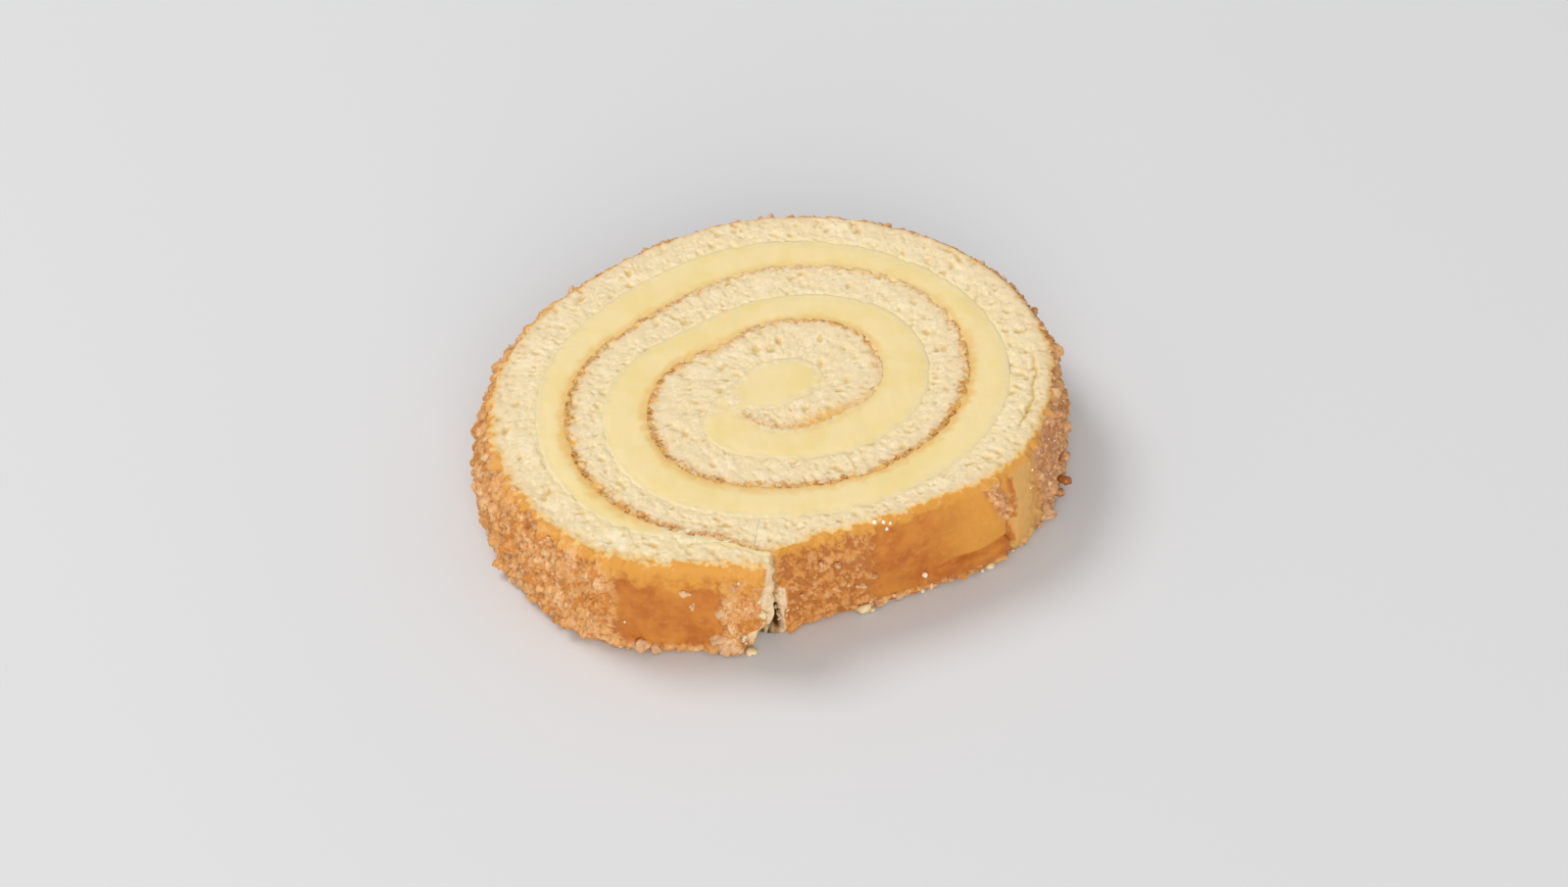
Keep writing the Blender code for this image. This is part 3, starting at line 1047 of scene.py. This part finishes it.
# Painted shade: the near-black colour laid into the groove and the hole beside the loose end.
PAINTED_HOLLOW_SHADE = (0.14, 0.04, 0.008)
TORN_PALE = (0.80, 0.61, 0.42)
LINE_ORANGE = (0.80, 0.42, 0.09)
SUGAR_TAN = (0.88, 0.74, 0.56)
SUGAR_WHITE = (0.95, 0.88, 0.76)


def crumb_colour(nodes):
    """Pale torn crumb: paler patches, partly its own tone and partly painted highlight for its peaks;
    painted shade, a darker yellow, in its pores and pits; soaked with cream at the spread side.
    """
    broad = nodes.noise(4.0, 3.0)
    fine = nodes.noise(0.55, 3.0, (1.0, 0.75, 1.0))
    # Paler patches at random, partly the crumb's own tone and partly painted highlight for its lit peaks.
    colour = nodes.mix(nodes.ramp(fine, 0.48, 0.68, 0.0, 0.6), CRUMB_PALE, CRUMB_PALER_AND_HIGHLIGHT)
    colour = nodes.mix(nodes.ramp(broad, 0.5, 0.7, 0.0, 0.45), colour, CRUMB_PALER_AND_HIGHLIGHT)
    near_line = nodes.ramp(nodes.attribute("crust_mm"), 0.8, 4.2, 0.55, 0.0)
    near_line = nodes.times(near_line, nodes.attribute("line"))
    colour = nodes.mix(near_line, colour, CRUMB_GREY)
    # Painted shade: the pores, and the pits and crack by their depth, are darkened to a deeper yellow.
    pores = nodes.ramp(nodes.cells(0.7), 0.10, 0.28, 0.7, 0.0)
    pores = nodes.times(pores, nodes.blotches(1.7, 0.46, 0.60, detail=1.0))
    colour = nodes.mix(pores, colour, CRUMB_PIT_SHADE)
    colour = nodes.mix(nodes.ramp(nodes.attribute("pit"), 0.08, 0.6, 0.0, 0.75), colour, CRUMB_PIT_SHADE)
    soaked = nodes.frayed(nodes.attribute("spread_mm"), 1.2, 0.7, 2.0)
    return nodes.mix(nodes.ramp(soaked, 0.1, 1.1, 1.0, 0.0), colour, CREAM)


def with_brown_line(nodes, colour):
    """The browned side where it is rolled in: a thin, granular, broken line."""
    strength = nodes.attribute("line")
    width = nodes.blotches(3.5, 0.3, 0.7, -0.5, 0.5, detail=2.0)
    ragged = nodes.frayed(nodes.attribute("crust_mm"), 0.9, 0.6)
    ragged = nodes.math("ADD", ragged, width)
    tan = nodes.times(nodes.ramp(ragged, 0.5, 1.8, 1.0, 0.0), strength)
    browning = nodes.mix(nodes.blotches(2.4, 0.48, 0.6, detail=2.0), LINE_TAN, LINE_ORANGE)
    colour = nodes.mix(tan, colour, browning)
    specks = nodes.blotches(0.6, 0.48, 0.58, detail=2.0)
    specks = nodes.times(specks, nodes.blotches(2.0, 0.38, 0.52, detail=2.0))
    dark = nodes.times(nodes.ramp(ragged, 0.3, 1.1, 1.0, 0.0), specks, strength)
    colour = nodes.mix(dark, colour, LINE_DARK)
    return nodes.mix(nodes.times(nodes.attribute("smear"), 0.9), colour, STAIN)


def skin_colour(nodes):
    """The smooth part of the crust, paler and yellower beside the fold."""
    colour = nodes.mix(nodes.blotches(6.0, 0.35, 0.65), CRUST_BROWN, CRUST_ORANGE)
    colour = nodes.mix(nodes.blotches(1.3, 0.45, 0.7, 0.0, 0.5), colour, CRUST_ORANGE)
    around = nodes.attribute("around")
    beside_fold = nodes.ramp(around, 302.5, 304.0)
    beside_fold = nodes.times(beside_fold, nodes.ramp(around, 310.0, 328.0, 1.0, 0.0))
    above_ledge = nodes.ramp(nodes.attribute("level"), LEDGE_HEIGHT, LEDGE_HEIGHT + 0.8)
    return nodes.mix(nodes.times(beside_fold, above_ledge, 0.75), colour, CRUST_RIM)


def granule_colour(nodes):
    """Flakes and grains, each of its own tone, with dark orange crevices between them: browner crust,
    darkened further by painted shade.
    """
    tone = nodes.attribute("tone")
    colour = nodes.mix(nodes.ramp(tone, 0.1, 0.5), CRUST_ORANGE, CRUST_TAN)
    colour = nodes.mix(nodes.ramp(tone, 0.7, 1.0, 0.0, 0.7), colour, CRUST_FLAKE)
    colour = nodes.mix(nodes.blotches(0.7, 0.48, 0.70, 0.0, 0.4), colour, CRUST_FLAKE)
    colour = nodes.mix(nodes.blotches(0.45, 0.52, 0.66, 0.0, 0.55, detail=2.0), colour, CRUST_BROWN)
    beside_groove = nodes.ramp(nodes.attribute("around"), 336.0, 348.0, 0.0, 0.5)
    colour = nodes.mix(beside_groove, colour, CRUST_ORANGE)
    # Low places between the granules: browner crust and painted shade.
    return nodes.mix(nodes.ramp(nodes.attribute("knob"), 0.02, 0.35, 0.75, 0.0), colour, CREVICE_BROWN_AND_SHADE)


def crust_colour(nodes):
    """Baked crust: skin, granules, the pink mottled side and the pale fold, and its yellow rim."""
    granular = nodes.ramp(nodes.attribute("rough"), 0.15, 0.6)
    colour = nodes.mix(granular, skin_colour(nodes), granule_colour(nodes))
    around = nodes.frayed(nodes.attribute("around"), 2.2, 1.2)
    pink = nodes.times(nodes.ramp(around, 268.0, 280.0), nodes.ramp(around, 292.0, 296.0, 1.0, 0.0))
    mottled = nodes.mix(nodes.blotches(0.8, 0.45, 0.65), CRUST_PINK, CRUST_FLAKE)
    pink = nodes.times(pink, nodes.blotches(3.0, 0.35, 0.6, 0.2, 0.65))
    colour = nodes.mix(pink, colour, mottled)
    ridge = nodes.frayed(nodes.attribute("ridge"), 1.0, 0.4)
    colour = nodes.mix(nodes.ramp(ridge, 0.2, 0.9, 0.0, 0.6), colour, mottled)
    bare = nodes.times(nodes.ramp(around, 291.0, 298.0), nodes.ramp(around, 301.5, 303.0, 1.0, 0.0))
    colour = nodes.mix(nodes.times(bare, 0.85), colour, CRUST_BARE)
    band = nodes.frayed(nodes.attribute("band_share"), 1.8, 0.45)
    colour = nodes.mix(nodes.ramp(band, 0.4, 1.3, 0.85, 0.0), colour, CRUST_RIM)
    torn = nodes.mix(nodes.blotches(0.6, 0.35, 0.65), CRUST_FLAKE, TORN_PALE)
    return nodes.mix(nodes.ramp(nodes.attribute("torn"), 0.3, 0.8), colour, torn)


def sponge_material():
    """The crumb, its rolled-in brown line, and the crust where the sheet's browned side is outside."""
    nodes = Nodes("torn_crumb_and_crust", 0.8)
    inner = with_brown_line(nodes, crumb_colour(nodes))
    outside = nodes.attribute("outside")
    noisy = nodes.blotches(1.6, 0.3, 0.7, -0.75, 0.25, detail=4.0)
    ragged = nodes.math("ADD", nodes.times(nodes.attribute("rim_share"), 1.4), noisy)
    colour = nodes.mix(outside, inner, crumb_colour(nodes))
    yellowed = nodes.times(nodes.ramp(ragged, 0.6, 1.5, 0.8, 0.0), outside)
    colour = nodes.mix(yellowed, colour, CRUST_YELLOW)
    shell = nodes.times(nodes.ramp(ragged, 0.25, 0.75, 1.0, 0.0), outside)
    colour = nodes.mix(shell, colour, crust_colour(nodes))
    # The groove and the hole beside the loose end are darkened with painted shade.
    nodes.colour(nodes.mix(nodes.ramp(nodes.attribute("painted_hollow_shade"), 0.25, 0.8), colour, PAINTED_HOLLOW_SHADE))
    nodes.link(nodes.ramp(shell, 0.0, 1.0, 0.85, 0.55), nodes.shader.inputs["Roughness"])
    coarse = nodes.times(nodes.noise(0.9, 2.0), 0.8)
    grain = nodes.math("ADD", nodes.noise(0.35, 3.0, roughness=0.6), coarse)
    nodes.bump(grain, 0.16, 0.45)
    nodes.soft(0.12, 1.2)
    return nodes.material


def cream_material():
    """Smooth lemon cream, stained by the crust line it lies on, with crumbs dragged into it."""
    nodes = Nodes("lemon_cream", 0.42)
    colour = nodes.mix(nodes.blotches(7.0, 0.4, 0.65, detail=2.0), CREAM, CREAM_DEEP)
    colour = nodes.mix(nodes.blotches(1.0, 0.5, 0.75, 0.0, 0.3, detail=2.0), colour, CRUMB_PALE)
    ragged = nodes.frayed(nodes.attribute("to_crust"), 1.8, 0.5, 2.0)
    stained = nodes.times(nodes.ramp(ragged, 0.0, 2.0, 0.8, 0.0), nodes.attribute("line"))
    colour = nodes.mix(stained, colour, STAIN)
    blended = nodes.frayed(nodes.attribute("to_spread"), 1.3, 0.5)
    colour = nodes.mix(nodes.ramp(blended, -0.3, 0.7, 0.75, 0.0), colour, CRUMB_PALE)
    # Paler patches on the dragged crumbs, partly their own tone and partly painted highlight.
    crumbs = nodes.mix(nodes.blotches(0.55, 0.48, 0.68, 0.0, 0.75), CRUMB_PALE, CRUMB_PALER_AND_HIGHLIGHT)
    # Painted shade in the pits of the crumbs that hide the cream.
    crumbs = nodes.mix(nodes.ramp(nodes.attribute("pit"), 0.10, 0.75, 0.0, 0.8), crumbs, CRUMB_PIT_SHADE)
    colour = nodes.mix(nodes.attribute("smear"), colour, crumbs)
    nodes.colour(colour)
    nodes.bump(nodes.noise(1.2, 3.0, (1.0, 0.4, 1.0)), 0.08, 0.35)
    nodes.soft(0.3, 2.0)
    return nodes.material


def lump_material(name, pale, dark, roughness):
    """Crumbs from pale to dark by their tone."""
    nodes = Nodes(name, roughness)
    colour = nodes.mix(nodes.attribute("tone"), pale, dark)
    colour = nodes.mix(nodes.blotches(0.8, 0.45, 0.7, 0.0, 0.5), colour, pale)
    nodes.colour(colour)
    nodes.bump(nodes.noise(0.35, 3.0), 0.12, 0.6)
    nodes.soft(0.1, 0.8)
    return nodes.material


def sugar_material():
    nodes = Nodes("sugar_crystal", 0.15)
    nodes.colour(nodes.mix(nodes.noise(0.5, 1.0), SUGAR_TAN, SUGAR_WHITE))
    nodes.soft(0.3, 0.5)
    return nodes.material


# ---------------------------------------------------------------------------------------------
# Stage, light and camera.

FLOOR_WHITE = (0.68, 0.68, 0.685)
FLOOR_SIZE = 1.5
FLOOR_LEVEL = -0.0002
# Each lamp's name, place, size and power. They all face the slice.
LAMPS = (("window", (-1.4, 0.9, 2.1), 1.3, 33.0), ("front_fill", (0.1, -2.3, 1.0), 1.8, 38.0))
WORLD_STRENGTH = 0.5


def make_stage():
    made = bmesh.new()
    bmesh.ops.create_grid(made, x_segments=1, y_segments=1, size=FLOOR_SIZE)
    mesh = bpy.data.meshes.new("floor")
    made.to_mesh(mesh)
    made.free()
    floor = bpy.data.objects.new("floor", mesh)
    floor.location.z = FLOOR_LEVEL
    material = bpy.data.materials.new("pale_floor")
    material.use_nodes = True
    shader = material.node_tree.nodes["Principled BSDF"]
    shader.inputs["Base Color"].default_value = (*FLOOR_WHITE, 1.0)
    shader.inputs["Roughness"].default_value = 0.6
    mesh.materials.append(material)
    bpy.context.scene.collection.objects.link(floor)


def add_lamp(name, place, size, power):
    lamp = bpy.data.lights.new(name, "AREA")
    lamp.shape = "DISK"
    lamp.size = size
    lamp.energy = power
    holder = bpy.data.objects.new(name, lamp)
    holder.location = place
    holder.rotation_euler = (-Vector(place)).to_track_quat("-Z", "Y").to_euler()
    bpy.context.scene.collection.objects.link(holder)


def make_light():
    for lamp in LAMPS:
        add_lamp(*lamp)
    world = bpy.data.worlds.new("studio")
    bpy.context.scene.world = world
    world.use_nodes = True
    background = world.node_tree.nodes["Background"]
    background.inputs["Color"].default_value = (1.0, 1.0, 1.0, 1.0)
    background.inputs["Strength"].default_value = WORLD_STRENGTH


# The camera: where it stands in millimetres, and its right and forward directions.
CAMERA_PLACE = (1.56, -365.99, 331.1)
CAMERA_RIGHT = (0.9995, -0.0208, -0.0232)
CAMERA_FORWARD = (0.0, 0.7455, -0.6665)
CAMERA_LENS = 63.5


def make_camera():
    data = bpy.data.cameras.new("camera")
    data.lens = CAMERA_LENS
    data.sensor_width = 36.0
    data.clip_start = 0.01
    camera = bpy.data.objects.new("camera", data)
    forward = Vector(CAMERA_FORWARD).normalized()
    right = Vector(CAMERA_RIGHT)
    right = (right - right.dot(forward) * forward).normalized()
    up = right.cross(forward)
    turn = Matrix((right, up, -forward)).transposed()
    camera.matrix_world = Matrix.Translation(Vector(CAMERA_PLACE) * MM) @ turn.to_4x4()
    bpy.context.scene.collection.objects.link(camera)
    bpy.context.scene.camera = camera


def main():
    # Without a seed, noise_vector takes its offsets from the clock.
    noise.seed_set(NOISE_SEED)
    scene = bpy.context.scene
    scene.view_settings.view_transform = "Standard"
    make_camera()
    make_light()
    make_stage()
    sponge_pieces = [
        *make_sponge(sponge_material()),
        torn_sponge(lump_material("torn_crumb", CRUMB_PALE, CRUMB_GREY, 0.85)),
        loose_crumbs(lump_material("pale_crumb", CRUMB_PALE, CRUMB_GREY, 0.85)),
        sugar_grains(sugar_material()),
    ]
    baked = lump_material("baked_crumb", CRUST_FLAKE, CRUMB_DARK, 0.6)
    sponge_pieces += [baked_crumbs(baked), large_lumps(baked)]
    for piece in sponge_pieces:
        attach(piece, "root")
    cream = make_cream(cream_material())
    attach(cream, "root")


main()
